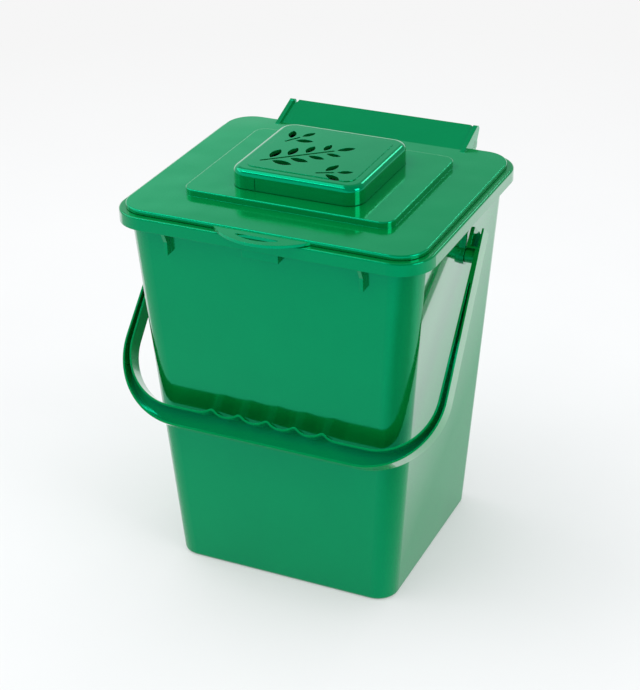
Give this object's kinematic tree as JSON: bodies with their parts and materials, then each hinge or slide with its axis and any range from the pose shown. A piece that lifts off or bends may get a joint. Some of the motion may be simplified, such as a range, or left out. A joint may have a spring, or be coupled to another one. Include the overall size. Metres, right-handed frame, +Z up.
{
  "type": "kitchen compost pail",
  "caption": "Tapered rounded-rectangle kitchen compost pail with a hinged lid, a vented cap over a carbon filter and a swinging bail handle.",
  "frame": {"origin": "centre of the flat underside, on the floor", "axes": "+Z up, -Y to the front with the lift tab, +X to the right as seen from the front"},
  "size_m": [0.2484, 0.2268, 0.3057],
  "materials": {
    "pail_plastic": "gloss",
    "lid_plastic": "gloss",
    "cover_plastic": "gloss",
    "handle_plastic": "gloss",
    "carbon": "matt"
  },
  "bodies": {
    "pail": {"pail": "pail_plastic"},
    "lid": {"lid": "lid_plastic", "carbon_filter": "carbon"},
    "cover": {"filter_cover": "cover_plastic"},
    "handle": {"handle": "handle_plastic"}
  },
  "joints": [
    {"name": "lid_hinge", "type": "hinge", "parent": "pail", "child": "lid", "pos_m": [0, 0.107, 0.284], "axis": [-1, 0, 0], "range_deg": [0, 105]},
    {"name": "cover_lift_off", "type": "slide", "parent": "lid", "child": "cover", "axis": [0, 0, 1], "range_m": [0, 0.04]},
    {"name": "handle_swing", "type": "hinge", "parent": "pail", "child": "handle", "pos_m": [0, 0.001, 0.2473], "axis": [-1, 0, 0], "range_deg": [0, 280.6]}
  ]
}
